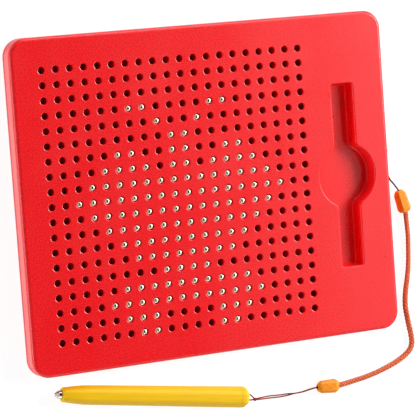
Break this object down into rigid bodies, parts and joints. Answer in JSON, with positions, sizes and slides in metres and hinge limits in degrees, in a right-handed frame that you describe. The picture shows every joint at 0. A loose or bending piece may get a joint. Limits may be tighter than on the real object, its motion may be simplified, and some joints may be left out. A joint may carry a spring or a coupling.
{
  "type": "magnetic drawing board",
  "caption": "Flat moulded board with a grid of holes over steel balls, a pen recess, and a six-sided magnet pen tied to it by a lanyard.",
  "frame": {"origin": "under the middle of the space that the board and the pen take, on the surface the board lies on", "axes": "+X along the board's width towards the pen recess, +Y towards the board's top edge, +Z out of its face"},
  "size_m": [0.2545, 0.2251, 0.0121],
  "materials": {
    "red_plastic": "moulded with a fine grain",
    "yellow_plastic": "satin moulded",
    "orange_plastic": "satin moulded",
    "orange_braid": "braided polyester",
    "brown_string": "twisted thread",
    "ball_steel": "polished bearing steel",
    "polished_steel": "turned and polished",
    "zinc_screw": "zinc plated",
    "magnet_metal": "nickel plated"
  },
  "bodies": {
    "board": {"front_shell": "red_plastic", "back_cover": "red_plastic", "ball_tray": "red_plastic", "cover_screw_1": "zinc_screw", "cover_screw_2": "zinc_screw", "cover_screw_3": "zinc_screw", "cover_screw_4": "zinc_screw", "cover_screw_5": "zinc_screw", "cover_screw_6": "zinc_screw", "lanyard_stop_knot": "brown_string", "board_string": "brown_string", "board_clip": "orange_plastic", "lanyard_strap": "orange_braid", "pen_clip": "orange_plastic", "pen_strand_1": "brown_string", "pen_strand_2": "brown_string", "pen_knot": "brown_string"},
    "pen": {"pen_barrel": "yellow_plastic", "pen_tail_cap": "yellow_plastic", "pen_tip": "polished_steel", "pen_magnet": "magnet_metal", "pen_loop": "brown_string"},
    "ball_r10_c01": {"ball_r10_c01": "ball_steel"},
    "ball_r10_c02": {"ball_r10_c02": "ball_steel"},
    "ball_r10_c03": {"ball_r10_c03": "ball_steel"},
    "ball_r10_c04": {"ball_r10_c04": "ball_steel"},
    "ball_r10_c05": {"ball_r10_c05": "ball_steel"},
    "ball_r10_c06": {"ball_r10_c06": "ball_steel"},
    "ball_r10_c07": {"ball_r10_c07": "ball_steel"},
    "ball_r10_c08": {"ball_r10_c08": "ball_steel"},
    "ball_r10_c09": {"ball_r10_c09": "ball_steel"},
    "ball_r10_c10": {"ball_r10_c10": "ball_steel"},
    "ball_r10_c11": {"ball_r10_c11": "ball_steel"},
    "ball_r10_c12": {"ball_r10_c12": "ball_steel"},
    "ball_r10_c13": {"ball_r10_c13": "ball_steel"},
    "ball_r10_c14": {"ball_r10_c14": "ball_steel"},
    "ball_r10_c15": {"ball_r10_c15": "ball_steel"},
    "ball_r10_c16": {"ball_r10_c16": "ball_steel"},
    "ball_r10_c17": {"ball_r10_c17": "ball_steel"},
    "ball_r10_c18": {"ball_r10_c18": "ball_steel"},
    "ball_r10_c19": {"ball_r10_c19": "ball_steel"},
    "ball_r10_c20": {"ball_r10_c20": "ball_steel"}
  },
  "joints": [
    {"name": "pen_swing", "type": "hinge", "parent": "board", "child": "pen", "pos_m": [0.02076, -0.10861, 0.00587], "axis": [0, 0, 1], "range_deg": [-2.5, 80]},
    {"name": "ball_r10_c01_slide", "type": "slide", "parent": "board", "child": "ball_r10_c01", "axis": [0, 0, 1], "range_m": [0, 0.0042]},
    {"name": "ball_r10_c02_slide", "type": "slide", "parent": "board", "child": "ball_r10_c02", "axis": [0, 0, 1], "range_m": [0, 0.0042]},
    {"name": "ball_r10_c03_slide", "type": "slide", "parent": "board", "child": "ball_r10_c03", "axis": [0, 0, 1], "range_m": [-0.0042, 0]},
    {"name": "ball_r10_c04_slide", "type": "slide", "parent": "board", "child": "ball_r10_c04", "axis": [0, 0, 1], "range_m": [-0.0042, 0]},
    {"name": "ball_r10_c05_slide", "type": "slide", "parent": "board", "child": "ball_r10_c05", "axis": [0, 0, 1], "range_m": [-0.0042, 0]},
    {"name": "ball_r10_c06_slide", "type": "slide", "parent": "board", "child": "ball_r10_c06", "axis": [0, 0, 1], "range_m": [-0.0042, 0]},
    {"name": "ball_r10_c07_slide", "type": "slide", "parent": "board", "child": "ball_r10_c07", "axis": [0, 0, 1], "range_m": [-0.0042, 0]},
    {"name": "ball_r10_c08_slide", "type": "slide", "parent": "board", "child": "ball_r10_c08", "axis": [0, 0, 1], "range_m": [-0.0042, 0]},
    {"name": "ball_r10_c09_slide", "type": "slide", "parent": "board", "child": "ball_r10_c09", "axis": [0, 0, 1], "range_m": [-0.0042, 0]},
    {"name": "ball_r10_c10_slide", "type": "slide", "parent": "board", "child": "ball_r10_c10", "axis": [0, 0, 1], "range_m": [-0.0042, 0]},
    {"name": "ball_r10_c11_slide", "type": "slide", "parent": "board", "child": "ball_r10_c11", "axis": [0, 0, 1], "range_m": [-0.0042, 0]},
    {"name": "ball_r10_c12_slide", "type": "slide", "parent": "board", "child": "ball_r10_c12", "axis": [0, 0, 1], "range_m": [-0.0042, 0]},
    {"name": "ball_r10_c13_slide", "type": "slide", "parent": "board", "child": "ball_r10_c13", "axis": [0, 0, 1], "range_m": [-0.0042, 0]},
    {"name": "ball_r10_c14_slide", "type": "slide", "parent": "board", "child": "ball_r10_c14", "axis": [0, 0, 1], "range_m": [-0.0042, 0]},
    {"name": "ball_r10_c15_slide", "type": "slide", "parent": "board", "child": "ball_r10_c15", "axis": [0, 0, 1], "range_m": [-0.0042, 0]},
    {"name": "ball_r10_c16_slide", "type": "slide", "parent": "board", "child": "ball_r10_c16", "axis": [0, 0, 1], "range_m": [-0.0042, 0]},
    {"name": "ball_r10_c17_slide", "type": "slide", "parent": "board", "child": "ball_r10_c17", "axis": [0, 0, 1], "range_m": [-0.0042, 0]},
    {"name": "ball_r10_c18_slide", "type": "slide", "parent": "board", "child": "ball_r10_c18", "axis": [0, 0, 1], "range_m": [-0.0042, 0]},
    {"name": "ball_r10_c19_slide", "type": "slide", "parent": "board", "child": "ball_r10_c19", "axis": [0, 0, 1], "range_m": [0, 0.0042]},
    {"name": "ball_r10_c20_slide", "type": "slide", "parent": "board", "child": "ball_r10_c20", "axis": [0, 0, 1], "range_m": [0, 0.0042]}
  ]
}
